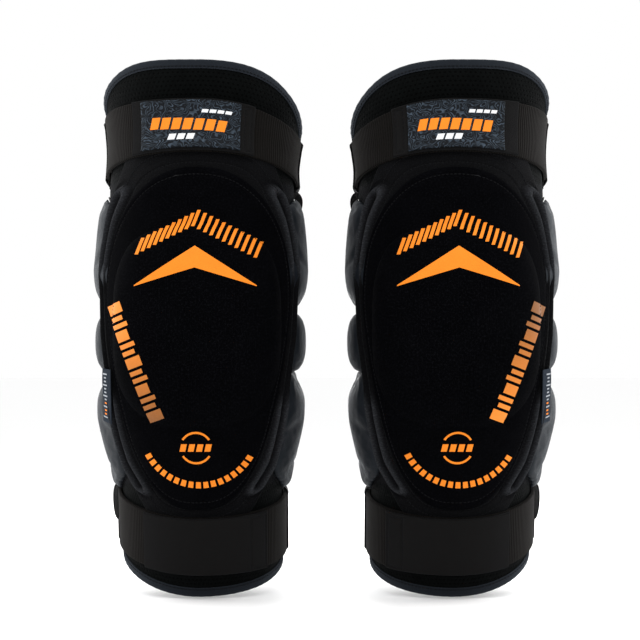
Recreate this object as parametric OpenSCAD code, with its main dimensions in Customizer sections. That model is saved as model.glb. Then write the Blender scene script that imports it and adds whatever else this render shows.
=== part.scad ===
// Pair of pull-on knee guards: a tubular sleeve pre-bent at the knee, with a hard knee cup under
// a long fabric cover, three foam pads down each side and two elastic straps with hook-and-loop
// ends. The fronts face -Y and +Z is up. The origin is midway between the two guards, on the line
// that both knees bend about. Each guard is drawn once, as the left one, and mirrored in X. Shin
// parts are drawn upwards like thigh parts and then turned down.

/* [Pair] */
// Distance between the middle planes of the two guards
pair_spacing = 189; // [176:1:260]

/* [Sleeve] */
// Backward lean of the thigh part
thigh_lean = 15; // [12:1:18]
// Backward lean of the shin part
shin_lean = 15; // [12:1:18]
// Half height of the upright part at the knee
knee_half = 25; // [22:1:28]
// Inner radius at the knee
knee_r = 62; // [60:0.5:63]
// Inner radius at the top of the thigh part
thigh_r = 69; // [67:0.5:71]
// Inner radius at the bottom of the shin part
calf_r = 57; // [55:0.5:59]
// Thickness of the padded sleeve fabric
sleeve_wall = 3.5; // [2.5:0.1:4]
// Length of the thigh part, to the middle of its rim
thigh_len = 140; // [138:1:144]
// Length of the shin part, to the middle of its rim
shin_len = 150; // [148:1:165]
// Length of the cylindrical start of the thigh and shin parts
straight_len = 25; // [20:1:30]
// Length over which the thigh part widens
thigh_flare = 80; // [60:1:84]
// Length over which the shin part narrows
shin_flare = 60; // [50:1:66]
// Extra slant of the thigh part's rim in front of its middle line
thigh_rim_front = 17; // [15:0.5:18]
// Extra slant of the thigh part's rim behind its middle line
thigh_rim_back = 3; // [2:0.5:4]
// Extra slant of the shin part's rim
shin_rim_slant = 9; // [6:0.5:10]

/* [Bindings and grip bands] */
// Height of the edge binding at each rim
binding_h = 6.5; // [5:0.5:7]
// Thickness of the edge binding
binding_t = 0.8; // [0.5:0.1:1]
// Thickness of the rubbery grip bands inside both rims
grip_wall = 1; // [0.8:0.1:1.5]
// Width of the thigh grip band
thigh_grip_w = 22; // [18:1:22]
// Width of the calf grip band
calf_grip_w = 28; // [24:1:28]

/* [Straps] */
// Width of the upper strap
upper_strap_w = 40; // [38:1:42]
// Width of the lower strap
lower_strap_w = 45; // [42:1:46]
// Thickness of the elastic
strap_t = 2.4; // [1.8:0.1:2.6]
// Distance of the upper strap's middle from the start of the thigh part
upper_strap_at = 113; // [110:1:114]
// Distance of the lower strap's middle from the start of the shin part
lower_strap_at = 119; // [118:1:120]

/* [Knee cup] */
// How far the cup's front stands in front of the knee line
cup_front = 84; // [82:0.5:85]
// Radius of the cup seen from the side
cup_side_r = 118; // [114:1:124]
// Radius of the cup seen from above
cup_cross_r = 62; // [58:1:66]
// Thickness of the hard cup
cup_wall = 3.5; // [3:0.1:4]
// Thickness of the foam that lines the cup
liner_t = 4; // [3:0.1:4]
// Half width of the cup
cup_half_w = 49; // [44:1:49]
// Height of the cup's top above the knee line
cup_top = 62; // [56:1:62]
// Depth of the cup's bottom below the knee line
cup_bottom = 62; // [56:1:62]

/* [Pads and cover] */
// Thickness of the thigh and shin pads
front_pad_t = 6; // [5:0.5:6.5]
// Thickness of the upper side pads at the knee
upper_pad_t = 13; // [9:0.5:14]
// Thickness of the lower side pads at the knee
lower_pad_t = 10.5; // [8:0.5:11]
// Radius of the round middle side pads
mid_pad_r = 29; // [26:0.5:29]
// Half width of the guard across the middle side pads
mid_half_w = 80; // [78:0.5:82]
// How far the cover's front stands in front of the knee line
cover_front = 87; // [86.5:0.5:90]
// Radius of the cover seen from the side
cover_side_r = 250; // [245:1:310]
// Tilt of the cover, which lies closer to the shin than to the thigh
cover_tilt = 2.5; // [1:0.5:2.5]
// Radius of the cover seen from above
cover_cross_r = 75; // [72:1:80]
// Thickness of the cover
cover_t = 1.4; // [1:0.1:2]

/* [Hidden] */
$fn = 96;

gap = 0.4; // air between layers that lie on each other
far = 400; // larger than a guard
side_y = 110; // further from the knee line than any part of a guard at the knee

// colours of the materials
knit_black = "#17181b";
binding_grey = "#3c434c";
foam_blue = "#2b2f38";
elastic_brown = "#2e2a27";
cover_black = "#101113";
grip_grey = "#6d7074";
hard_black = "#1c1c1e";
label_blue = "#39434f";
hook_black = "#0c0c0d";
tag_white = "#d8d4cf";

// angles about the knee line, up from the front and from the back, where the halves' sleeves start
front_cut = 56;
back_cut = 24;
cut_gap = 0.4; // angle left between a half's sleeve and the stretch of sleeve at the knee

rim_reach = 120; // further across than any rim
rim_turn = 3; // how far behind the middle line the thigh part's rim changes its slant
// slants of each rim in front of and behind its part's middle line
thigh_slants = [thigh_rim_front, thigh_rim_back];
shin_slants = [shin_rim_slant, shin_rim_slant];
sleeve_r = knee_r + sleeve_wall;
flare_pad_r = 75.5; // outer radius of the upper side pads at their tops
taper_pad_r = 68; // outer radius of the lower side pads at their bottoms
upper_strap_r = thigh_r + sleeve_wall + binding_t + gap;
lower_strap_r = calf_r + sleeve_wall + binding_t + gap;
hook_t = 1.1;
tab_t = 1.8;
label_t = 1.5;
upper_hook_r = upper_strap_r + strap_t + gap;
lower_hook_r = lower_strap_r + strap_t + gap;

// points of the (y, z) plane: along and across a leaning part, and at an angle up from the front
function on_leg(lean, across, along) = [0, knee_half]
    + across * [cos(lean), -sin(lean)] + along * [sin(lean), cos(lean)];
function from_knee(angle, r) = [-r * cos(angle), r * sin(angle)];
// where the line at that angle crosses the plane in which a leaning part starts
function at_start(lean, angle) =
    from_knee(angle, knee_half / (sin(angle) - cos(angle) * tan(lean / 2)));
// the slanted rim's height in the leaning part
function rim_at(len, slants, across) = len - across * tan(across < 0 ? slants[0] : slants[1]);
// the places across a part where its rim's line starts, turns and ends
function rim_stops(slants) = slants[0] == slants[1] ? [-rim_reach, rim_reach]
    : [-rim_reach, rim_turn, rim_reach];

module left() { translate([-pair_spacing / 2, 0, 0]) children(); }
module right() { translate([pair_spacing / 2, 0, 0]) mirror([1, 0, 0]) children(); }
module turned_down() { mirror([0, 0, 1]) children(); }

// the frame of a leaning part: +Z runs away from the knee along the part's middle line
module leaning(lean) { translate([0, 0, knee_half]) rotate([-lean, 0, 0]) children(); }

// a prism along X of an outline in the (y, z) plane
module side_prism(points) {
    translate([-far / 2, 0, 0]) rotate([90, 0, 90]) linear_extrude(far) polygon(points);
}

// a line along X through the knee, as a thick rod
module knee_rod(r) { translate([-far / 2, 0, 0]) rotate([0, 90, 0]) cylinder(h = far, r = r); }

// a band around a leaning part, over a sector given from the front towards the inner side (+X)
module band(at, w, r, t, from = 0, to = 360) {
    translate([0, 0, at - w / 2]) rotate([0, 0, from - 90]) rotate_extrude(angle = to - from)
        translate([r, 0]) square([t, w]);
}

// ---- sleeve ----

// a leaning tube that flares from the knee's radius to end_r, longer than needed at both ends
module flared_tube(lean, end_r, flare, len) {
    top = len + 30;
    full = straight_len + flare;
    leaning(lean) rotate_extrude() polygon([
        [knee_r, -60], [knee_r, straight_len], [end_r, full], [end_r, top],
        [end_r + sleeve_wall, top], [end_r + sleeve_wall, full],
        [knee_r + sleeve_wall, straight_len], [knee_r + sleeve_wall, -60]
    ]);
}

// one half's sleeve, cut at the knee at two angles and at its slanted rim
module half_sleeve(lean, end_r, flare, len, slants) {
    reach = 160;
    intersection() {
        flared_tube(lean, end_r, flare, len);
        side_prism([
            at_start(lean, front_cut), from_knee(front_cut, reach),
            for (across = rim_stops(slants)) on_leg(lean, across, rim_at(len, slants, across)),
            from_knee(180 - back_cut, reach), at_start(lean, 180 - back_cut)
        ]);
    }
}

// what a half's sleeve leaves of its tube near the knee, in front and behind
module half_sleeve_start(lean, end_r, flare, len) {
    reach = 160;
    front = front_cut - cut_gap;
    back = 180 - back_cut + cut_gap;
    intersection() {
        flared_tube(lean, end_r, flare, len);
        union() {
            side_prism([
                at_start(lean, front), [-side_y, knee_half + side_y * tan(lean / 2)],
                from_knee(front, reach)
            ]);
            side_prism([
                at_start(lean, back), from_knee(back, reach),
                [side_y, knee_half - side_y * tan(lean / 2)]
            ]);
        }
    }
}

// the two ends, in the (y, z) plane, of the plane in which a leaning part starts, less the gap
function start_line(lean) =
    [for (y = [-side_y, side_y]) [y, knee_half - y * tan(lean / 2) - gap]];

// an upright ring at the knee line, and what the two halves' sleeves leave of the leaning tubes
module knee_sleeve() {
    thigh_line = start_line(thigh_lean);
    shin_line = start_line(shin_lean);
    color(knit_black) {
        intersection() {
            difference() {
                cylinder(h = far, r = sleeve_r, center = true);
                cylinder(h = far + 2, r = knee_r, center = true);
            }
            side_prism([thigh_line[0], thigh_line[1], [side_y, -shin_line[1].y],
                [-side_y, -shin_line[0].y]]);
        }
        half_sleeve_start(thigh_lean, thigh_r, thigh_flare, thigh_len);
        turned_down() half_sleeve_start(shin_lean, calf_r, shin_flare, shin_len);
    }
}

module thigh_sleeve() {
    color(knit_black) half_sleeve(thigh_lean, thigh_r, thigh_flare, thigh_len, thigh_slants);
}

module shin_sleeve() {
    color(knit_black) turned_down()
        half_sleeve(shin_lean, calf_r, shin_flare, shin_len, shin_slants);
}

// a folded tape over a slanted rim, with its two legs inside and outside the sleeve
module binding(lean, end_r, len, slants) {
    lip = 0.5;
    slack = 0.1;
    leaning(lean) difference() {
        intersection() {
            translate([0, 0, len - 40]) cylinder(h = 80, r = end_r + sleeve_wall + binding_t);
            rim_slab(len, slants, -binding_h, 1);
        }
        cylinder(h = far, r = end_r - lip);
        difference() {
            intersection() {
                translate([0, 0, len - 60]) cylinder(h = 120, r = end_r + sleeve_wall + slack);
                rim_slab(len, slants, -2 * binding_h, slack);
            }
            cylinder(h = far, r = end_r - slack);
        }
    }
}

// the space between two heights above a rim, in the frame of its leaning part
module rim_slab(length, slants, low, high) {
    stops = rim_stops(slants);
    side_prism([
        for (y = stops) [y, rim_at(length, slants, y) + low],
        for (i = [len(stops) - 1:-1:0]) [stops[i], rim_at(length, slants, stops[i]) + high]
    ]);
}

module thigh_binding() {
    color(binding_grey) binding(thigh_lean, thigh_r, thigh_len, thigh_slants);
}

module shin_binding() {
    color(binding_grey) turned_down() binding(shin_lean, calf_r, shin_len, shin_slants);
}

module thigh_grip() {
    color(grip_grey) leaning(thigh_lean)
        band(upper_strap_at + 4, thigh_grip_w, thigh_r - grip_wall, grip_wall);
}

module calf_grip() {
    color(grip_grey) turned_down() leaning(shin_lean)
        band(lower_strap_at - 6, calf_grip_w, calf_r - grip_wall, grip_wall);
}

// ---- front: thigh pad, cup, shin pad and the cover over them ----

// a pad of even thickness on the front of a flaring part, inside an outline in (x, along)
module front_pad(lean, end_r, flare, outline) {
    slope = (end_r - knee_r) / flare;
    low = straight_len - 2;
    high = straight_len + flare;
    inner = sleeve_r + gap;
    leaning(lean) intersection() {
        rotate([0, 0, -180]) rotate_extrude(angle = 180) polygon([
            [inner, low], [inner, straight_len], [inner + slope * flare, high],
            [inner + slope * flare + front_pad_t, high], [inner + front_pad_t, straight_len],
            [inner + front_pad_t, low]
        ]);
        rotate([90, 0, 0]) linear_extrude(far / 2) polygon(outline);
    }
}

module thigh_pad() {
    color(foam_blue) front_pad(thigh_lean, thigh_r, thigh_flare, [
        [-44, 49], [44, 49], [36, 64], [18, 74], [-18, 74], [-36, 64]
    ]);
}

module shin_pad() {
    color(foam_blue) turned_down() front_pad(shin_lean, calf_r, shin_flare, [
        [-40, 27], [40, 27], [37, 48], [26, 66], [12, 78], [-12, 78], [-26, 66], [-37, 48]
    ]);
}

// a domed solid that faces forwards: a circle of cross_r swung about a line along X
module dome(front, side_r, cross_r, half_angle) {
    translate([0, side_r - front, 0]) rotate([0, 90, 0]) rotate([0, 0, -90 - half_angle])
        rotate_extrude(angle = 2 * half_angle) intersection() {
            translate([side_r - cross_r, 0]) circle(cross_r);
            translate([side_r / 8, -far / 2]) square([far, far]);
        }
}

// outline of the cup seen from the front, less inset all round
module cup_outline(inset) {
    r = cup_half_w - inset;
    low = cup_half_w - cup_bottom;
    high = cup_top - cup_half_w;
    rotate([90, 0, 0]) linear_extrude(far / 2) {
        translate([0, high]) circle(r);
        translate([0, low]) circle(r);
        translate([-r, low]) square([2 * r, high - low]);
    }
}

module cup_layer(inset, t, edge_inset) {
    half_angle = 50;
    intersection() {
        difference() {
            dome(cup_front - inset, cup_side_r - inset, cup_cross_r - inset, half_angle);
            dome(cup_front - inset - t, cup_side_r - inset - t, cup_cross_r - inset - t,
                half_angle + 5);
        }
        cup_outline(edge_inset);
    }
}

module knee_cup() { color(hard_black) cup_layer(0, cup_wall, 0); }
module cup_liner() { color(foam_blue) cup_layer(cup_wall + gap, liner_t, 3); }

module front_cover() {
    half_angle = 38;
    color(cover_black) intersection() {
        rotate([cover_tilt, 0, 0]) difference() {
            dome(cover_front, cover_side_r, cover_cross_r, half_angle);
            dome(cover_front - cover_t, cover_side_r - cover_t, cover_cross_r - cover_t,
                half_angle + 2);
        }
        rotate([90, 0, 0]) linear_extrude(far / 2) polygon([
            [-20, 130], [20, 130], [40, 118], [51, 96], [52, 60], [52, -40], [49, -72], [40, -104],
            [24, -126], [10, -134], [-10, -134], [-24, -126], [-40, -104], [-49, -72], [-52, -40],
            [-52, 60], [-51, 96], [-40, 118]
        ]);
    }
}

// ---- side pads; side is -1 for the outer side of the left guard and 1 for its inner side ----

// a pad on one side of a leaning part, between two profiles and inside an outline seen from the
// side in (across, along)
module side_pad(side, lean, end_r, flare, knee_t, tip_r, tip_at, outline) {
    slope = (end_r - knee_r) / flare;
    inner = sleeve_r + gap;
    intersection() {
        leaning(lean) rotate([0, 0, side * 90 - 90 - 70]) rotate_extrude(angle = 140) polygon([
            [inner, -20], [inner, straight_len], [inner + slope * (tip_at - straight_len), tip_at],
            [tip_r, tip_at], [sleeve_r + knee_t, straight_len], [sleeve_r + knee_t, -20]
        ]);
        side_prism([for (p = outline) on_leg(lean, p.x, p.y)]);
    }
}

module upper_pad(side) {
    color(foam_blue) difference() {
        side_pad(side, thigh_lean, thigh_r, thigh_flare, upper_pad_t, flare_pad_r, 82, [
            [-38, -4], [-41, 39], [-27, 70], [-10, 81], [16, 81], [30, 70], [34, 35], [34, 5.5]
        ]);
        knee_rod(mid_pad_r + 2);
    }
}

module lower_pad(side) {
    color(foam_blue) turned_down() difference() {
        side_pad(side, shin_lean, calf_r, shin_flare, lower_pad_t, taper_pad_r, 92, [
            [-37, -3.8], [-40, 41], [-35, 72], [-14, 90], [14, 90], [28, 69], [27, 35], [28, 4.8]
        ]);
        knee_rod(mid_pad_r + gap);
    }
}

module mid_pad(side) {
    inner_x = sleeve_r + gap;
    dome_r = 64;
    color(foam_blue) intersection() {
        translate([side < 0 ? -far / 2 : inner_x, 0, 0]) rotate([0, 90, 0])
            cylinder(h = far / 2 - inner_x, r = mid_pad_r);
        translate([side * (mid_half_w - dome_r), 0, 0]) sphere(dome_r);
    }
}

module side_tag() {
    tag_w = 9;
    tag_h = 34;
    color(tag_white) translate([-58, -38, -57]) rotate([0, 0, -52]) cube([tag_w, 0.8, tag_h]);
}

// ---- straps ----

module upper_strap() {
    color(elastic_brown) leaning(thigh_lean)
        band(upper_strap_at, upper_strap_w, upper_strap_r, strap_t);
}

module lower_strap() {
    color(elastic_brown) turned_down() leaning(shin_lean)
        band(lower_strap_at, lower_strap_w, lower_strap_r, strap_t);
}

// two loops of tape that hold a strap at the sides, standing clear of it
module keepers(at, w, r) {
    mid = 98;
    half = 6;
    foot = 2.4;
    for (side = [-1, 1]) difference() {
        band(at, w, r, strap_t + 3.4, side * mid - half, side * mid + half);
        band(at, w - 2 * foot, r - 1, strap_t + 3, side * mid - half - 1, side * mid + half + 1);
    }
}

module upper_keepers() {
    color(knit_black) leaning(thigh_lean)
        keepers(upper_strap_at - 3, upper_strap_w + 12, upper_strap_r);
}

module lower_keepers() {
    color(knit_black) turned_down() leaning(shin_lean)
        keepers(lower_strap_at + 1, lower_strap_w + 9, lower_strap_r);
}

module upper_tab() {
    color(elastic_brown) leaning(thigh_lean)
        band(upper_strap_at, upper_strap_w - 1, upper_hook_r + hook_t, tab_t, -42, 36);
}

module upper_hook() {
    color(hook_black) leaning(thigh_lean)
        band(upper_strap_at, upper_strap_w - 5, upper_hook_r, hook_t, -30, 34);
}

module upper_label() {
    color(label_blue) leaning(thigh_lean)
        band(upper_strap_at, upper_strap_w - 4, upper_hook_r + hook_t + tab_t, label_t, -38, 25);
}

module lower_tab() {
    color(elastic_brown) turned_down() leaning(shin_lean)
        band(lower_strap_at, lower_strap_w - 1, lower_hook_r + hook_t, tab_t, -38, 50);
}

module lower_hook() {
    color(hook_black) turned_down() leaning(shin_lean)
        band(lower_strap_at, lower_strap_w - 5, lower_hook_r, hook_t, -26, 48);
}

left() thigh_sleeve();  // left_thigh_sleeve
left() thigh_binding();  // left_thigh_binding
left() thigh_grip();  // left_thigh_grip
left() thigh_pad();  // left_thigh_pad
left() upper_pad(-1);  // left_upper_pad_outer
left() upper_pad(1);  // left_upper_pad_inner
left() upper_strap();  // left_upper_strap
left() upper_keepers();  // left_upper_keepers
left() shin_sleeve();  // left_shin_sleeve
left() shin_binding();  // left_shin_binding
left() calf_grip();  // left_calf_grip
left() knee_cup();  // left_knee_cup
left() cup_liner();  // left_cup_liner
left() shin_pad();  // left_shin_pad
left() mid_pad(-1);  // left_mid_pad_outer
left() mid_pad(1);  // left_mid_pad_inner
left() lower_pad(-1);  // left_lower_pad_outer
left() lower_pad(1);  // left_lower_pad_inner
left() lower_strap();  // left_lower_strap
left() lower_keepers();  // left_lower_keepers
left() side_tag();  // left_side_tag
left() knee_sleeve();  // left_knee_sleeve
left() front_cover();  // left_front_cover
left() upper_tab();  // left_upper_tab
left() upper_hook();  // left_upper_hook
left() upper_label();  // left_upper_label
left() lower_tab();  // left_lower_tab
left() lower_hook();  // left_lower_hook
right() thigh_sleeve();  // right_thigh_sleeve
right() thigh_binding();  // right_thigh_binding
right() thigh_grip();  // right_thigh_grip
right() thigh_pad();  // right_thigh_pad
right() upper_pad(-1);  // right_upper_pad_outer
right() upper_pad(1);  // right_upper_pad_inner
right() upper_strap();  // right_upper_strap
right() upper_keepers();  // right_upper_keepers
right() shin_sleeve();  // right_shin_sleeve
right() shin_binding();  // right_shin_binding
right() calf_grip();  // right_calf_grip
right() knee_cup();  // right_knee_cup
right() cup_liner();  // right_cup_liner
right() shin_pad();  // right_shin_pad
right() mid_pad(-1);  // right_mid_pad_outer
right() mid_pad(1);  // right_mid_pad_inner
right() lower_pad(-1);  // right_lower_pad_outer
right() lower_pad(1);  // right_lower_pad_inner
right() lower_strap();  // right_lower_strap
right() lower_keepers();  // right_lower_keepers
right() side_tag();  // right_side_tag
right() knee_sleeve();  // right_knee_sleeve
right() front_cover();  // right_front_cover
right() upper_tab();  // right_upper_tab
right() upper_hook();  // right_upper_hook
right() upper_label();  // right_upper_label
right() lower_tab();  // right_lower_tab
right() lower_hook();  // right_lower_hook
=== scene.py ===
"""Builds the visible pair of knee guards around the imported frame.

Each guard is drawn once in its own millimetre frame, as the left one, and mirrored for the right.
Most pieces lie on one leg: place(s, a, h) takes the distance s along the leg's middle line from
the knee (up is positive), the angle a from the front towards the inner side, and the height h
above the sleeve's outer face."""

import math

import bmesh
import bpy
import numpy as np
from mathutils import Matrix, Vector
from mathutils.bvhtree import BVHTree
from mathutils.kdtree import KDTree


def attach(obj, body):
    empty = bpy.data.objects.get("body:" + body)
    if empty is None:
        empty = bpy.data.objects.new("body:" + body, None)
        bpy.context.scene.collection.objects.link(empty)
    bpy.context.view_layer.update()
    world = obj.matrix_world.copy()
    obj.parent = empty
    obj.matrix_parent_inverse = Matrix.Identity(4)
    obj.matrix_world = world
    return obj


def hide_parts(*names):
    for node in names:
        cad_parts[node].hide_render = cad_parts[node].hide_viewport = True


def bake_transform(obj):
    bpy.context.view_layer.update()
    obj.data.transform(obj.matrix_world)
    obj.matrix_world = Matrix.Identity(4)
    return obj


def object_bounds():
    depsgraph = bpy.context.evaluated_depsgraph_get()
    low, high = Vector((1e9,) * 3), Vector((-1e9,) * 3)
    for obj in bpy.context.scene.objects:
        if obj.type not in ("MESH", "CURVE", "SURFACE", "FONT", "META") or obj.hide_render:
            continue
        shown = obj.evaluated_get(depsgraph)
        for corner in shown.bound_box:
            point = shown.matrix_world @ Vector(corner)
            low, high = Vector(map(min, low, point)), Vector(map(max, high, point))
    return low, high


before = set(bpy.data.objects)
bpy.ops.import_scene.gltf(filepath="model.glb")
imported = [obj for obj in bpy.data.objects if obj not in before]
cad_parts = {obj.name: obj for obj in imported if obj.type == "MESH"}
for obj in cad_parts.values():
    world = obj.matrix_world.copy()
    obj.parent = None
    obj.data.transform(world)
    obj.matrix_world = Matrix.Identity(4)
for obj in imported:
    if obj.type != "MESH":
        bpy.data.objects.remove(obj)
cad_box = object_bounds()

MM = 0.001
DEG = math.pi / 180

# ---- sizes, in millimetres, and angles, in degrees from the front towards the inner side ----

PAIR_SPACING = 189.0
LEAN = 15 * DEG
ARC_R = 190.0  # the pre-bent knee: the radius of the leg's middle line
ARC = ARC_R * LEAN
KNEE_R, THIGH_R, CALF_R = 65.5, 72.5, 60.5  # outer radius of the sleeve
THIGH_FULL, CALF_FULL = 129.7, 109.7  # distance from the knee where the flare ends
TOP_RIM, BOTTOM_RIM = 164.7, 174.7
TOP_SLANTS = (17 * DEG, 3 * DEG)  # of the rim in front of and behind its middle line
BOTTOM_SLANTS = (9 * DEG, 9 * DEG)
BINDING_H = 6.5
SLEEVE_T = 3.5
SKIN = 0.3  # air between layers that lie on each other

TOP_LEAN, BOTTOM_LEAN = 8.5, 4.0  # how far the cuffs and straps tilt to each side
CUFF_FROM = 112.0  # height above or below the knee where the sleeve's mesh cuffs start
RIM_FLAT = 4.5  # lifts the top rim between its front and its sides
CINCH, CUFF_FLARE = 3.5, 5.0  # how far the strap draws the cuff in, and its rim stands out
CINCH_BELOW, CINCH_SPREAD = 6, 24  # where that is under the strap's middle, and how wide
FLARE_FROM, FLARE_OVER = 152, 26
LEAN_FROM, TOP_LEAN_OVER, BOTTOM_LEAN_OVER = 95, 60, 50
RIM_TURN = 18  # how softly a rim turns from its front slant to its back one

UPPER_STRAP_S, UPPER_STRAP_W = 137.7, 40.0
LOWER_STRAP_S, LOWER_STRAP_W = -143.7, 45.0
STRAP_H, STRAP_T = 1.2, 2.4
HOOK_H, HOOK_T = 4.0, 1.1
TAB_H, TAB_T = 5.1, 1.8
LABEL_H, LABEL_T = 6.95, 1.2

COVER_TOP, COVER_WIDEST, COVER_BOTTOM = 123.0, 25.0, -130.0
COVER_HALF_W = 69.5
COVER_T = 2.0
KNEE_BLEND = 50.0  # a height near the knee, given to blend_knee as near
HALF_BLEND = 110.0  # and one further up or down, given to it as away
SLEEVE_BLEND = (3, 62)  # the same two heights for the sleeve
PANEL_AT, SEAM_DEPTH, SEAM_W = 2.33, 0.9, 1.3  # the back panel's seams, their angle in radians
BACK_FROM, BACK_HALF_W = 38, 46  # depth and half width of the perforated back panel

GUARDS = {"left": 1, "right": -1}
HALVES = {True: "thigh", False: "shin"}  # of a guard, for upper and lower
LEVELS = {True: "upper", False: "lower"}
SIDES = ((1, "inner"), (-1, "outer"))


def smooth(x):
    """An eased step from 0 to 1."""
    t = np.clip(x, 0, 1)
    return t * t * (3 - 2 * t)


# ---- places on a leg ----


def sleeve_radius(s):
    """Radius of the sleeve's outer face at distance s from the knee."""
    up = KNEE_R + (THIGH_R - KNEE_R) * smooth((s - ARC) / (THIGH_FULL - ARC))
    cinched = CINCH * np.exp(-(((s - UPPER_STRAP_S + CINCH_BELOW) / CINCH_SPREAD) ** 2))
    flare = CUFF_FLARE * smooth((s - FLARE_FROM) / FLARE_OVER)
    return up - cinched + flare - (KNEE_R - CALF_R) * smooth((-s - ARC) / (CALF_FULL - ARC))


def leaned(s, a):
    """Cuffs and straps sit a little lower on the leg's inner side than on its outer side."""
    top = smooth((s - LEAN_FROM) / TOP_LEAN_OVER)
    bottom = smooth((-s - LEAN_FROM) / BOTTOM_LEAN_OVER)
    return s - (TOP_LEAN * top + BOTTOM_LEAN * bottom) * np.sin(a) * np.abs(np.sin(a))


def on_bent_leg(s, across):
    """Depth y and height z of points at s along the middle line and across behind it."""
    bent = np.clip(s, -ARC, ARC)
    phi, rest = bent / ARC_R, s - bent
    y = ARC_R * (1 - np.cos(phi)) + rest * np.sin(phi) + across * np.cos(phi)
    z = ARC_R * np.sin(phi) + rest * np.cos(phi) - across * np.sin(phi)
    return y, z


def place(s, a, h):
    """Points in the guard's frame, for arrays of distance, angle in radians, and height."""
    r = sleeve_radius(s) + h
    y, z = on_bent_leg(leaned(s, a), -r * np.cos(a))
    return np.stack(np.broadcast_arrays(r * np.sin(a), y, z), axis=-1)


def on_front(x, z, h):
    """The distance and angle of points seen from the front at (x, z), h above the sleeve."""
    low, high = np.full(np.shape(x), -190.0), np.full(np.shape(x), 210.0)
    for _ in range(30):
        s = (low + high) / 2
        a = np.arcsin(np.clip(x / (sleeve_radius(s) + h), -1, 1))
        above = place(s, a, h)[..., 2] > z
        low, high = np.where(above, low, s), np.where(above, s, high)
    return s, a


def rim_s(a, top):
    """Where the rim is at angle a: longest in front, with a smooth turn at the sides."""
    front, back = TOP_SLANTS if top else BOTTOM_SLANTS
    forward = (THIGH_R if top else CALF_R) * np.cos(a)
    ahead = (forward + np.sqrt(forward**2 + RIM_TURN**2)) / 2
    longer = ahead * math.tan(front) + (forward - ahead) * math.tan(back)
    lifted = RIM_FLAT * np.sin(2 * a) ** 2 * (np.abs(a) < math.pi / 2)
    return TOP_RIM + longer + lifted if top else -BOTTOM_RIM - longer


# ---- meshes ----


def to_world(points, guard):
    """World metres from millimetres in a guard's frame."""
    m = GUARDS[guard]
    p = np.asarray(points, float) * MM
    return np.stack([m * (p[..., 0] - PAIR_SPACING * MM / 2), p[..., 1], p[..., 2]], axis=-1)


def linked(name, data):
    """A new object in the scene."""
    obj = bpy.data.objects.new(name, data)
    bpy.context.scene.collection.objects.link(obj)
    return obj


def add_mesh(name, guard, points, faces, uv=None, uv_faces=None, sharp=50, normals=None):
    """A mesh object from points in a guard's frame; uv is in millimetres of cloth."""
    faces = np.asarray(faces)
    if GUARDS[guard] < 0:
        faces = faces[:, ::-1]
        uv_faces = None if uv_faces is None else np.asarray(uv_faces)[:, ::-1]
    mesh = bpy.data.meshes.new(name)
    mesh.from_pydata(to_world(points, guard).tolist(), [], faces.tolist())
    if uv is not None:
        layer = mesh.uv_layers.new(name="cloth")
        layer.data.foreach_set("uv", np.asarray(uv)[uv_faces].astype(np.float32).ravel())
    mesh.shade_smooth()
    if sharp:
        mesh.set_sharp_from_angle(angle=sharp * DEG)
    obj = linked(name, mesh)
    if normals is not None:
        world = normals * np.array([GUARDS[guard], 1, 1])
        mesh.normals_split_custom_set_from_vertices(world.tolist())
    return obj


def quads(grid):
    """The faces of a grid of point numbers."""
    corners = [grid[:-1, :-1], grid[:-1, 1:], grid[1:, 1:], grid[1:, :-1]]
    return np.stack(corners, -1).reshape(-1, 4)


def numbered(rows, cols, wrap=False):
    """A grid's point numbers, with the first column again at the end if it wraps round."""
    grid = np.arange(rows * cols).reshape(rows, cols)
    return np.concatenate([grid, grid[:, :1]], axis=1) if wrap else grid


def two_sided(outer, inner):
    """The points of two grids in one list."""
    return np.concatenate([outer.reshape(-1, 3), inner.reshape(-1, 3)])


def walls(grid, count):
    """Faces that close the four edges between an outer grid and its inner twin."""
    low, high, left, right = grid[0], grid[-1], grid[:, 0], grid[:, -1]
    sides = [(low + count, low), (high, high + count), (left, left + count), (right + count, right)]
    return np.concatenate([np.stack([a[:-1], a[1:], b[1:], b[:-1]], -1) for a, b in sides])


def slab(name, guard, outer, inner, uv, wrap=False, sharp=50):
    """A closed piece between two grids of points, with rows up the leg and columns round it."""
    rows, cols = outer.shape[:2]
    count = rows * cols
    grid, cloth = numbered(rows, cols, wrap), numbered(*uv.shape[:2])
    closing, cloth_closing = walls(grid, count), walls(cloth, 0)
    if wrap:  # the first two sides are the ends of the tube
        ends = 2 * (grid.shape[1] - 1)
        closing, cloth_closing = closing[:ends], cloth_closing[:ends]
    faces = np.concatenate([quads(grid), quads(grid)[:, ::-1] + count, closing])
    uv_faces = np.concatenate([quads(cloth), quads(cloth)[:, ::-1], cloth_closing])
    points = two_sided(outer, inner)
    return add_mesh(name, guard, points, faces, uv.reshape(-1, 2), uv_faces, sharp)


def cloth_uv(s, a, wrap=False):
    """Distances along and round the leg, in centimetres, for the weave's scale."""
    if wrap:
        s = np.concatenate([s, s[:, :1]], axis=1)
        a = np.concatenate([a, a[:, :1] + 2 * math.pi], axis=1)
    return np.stack([a * KNEE_R / 10, s / 10], axis=-1)


def eased(low, high, count, edge):
    """Values from low to high, closer together within edge of both ends."""
    near = edge * np.array([0.06, 0.2, 0.42, 0.7])
    inside = np.linspace(low + edge, high - edge, count)
    return np.concatenate([[low], low + near, inside, (high - near)[::-1], [high]])


def rounded(x, low, high, edge):
    """From 0 at both ends to 1 over a quarter circle of radius edge."""
    d = np.clip(np.minimum(x - low, high - x) / edge, 0, 1)
    return np.sqrt(np.clip(1 - (1 - d) ** 2, 0, 1))


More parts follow.
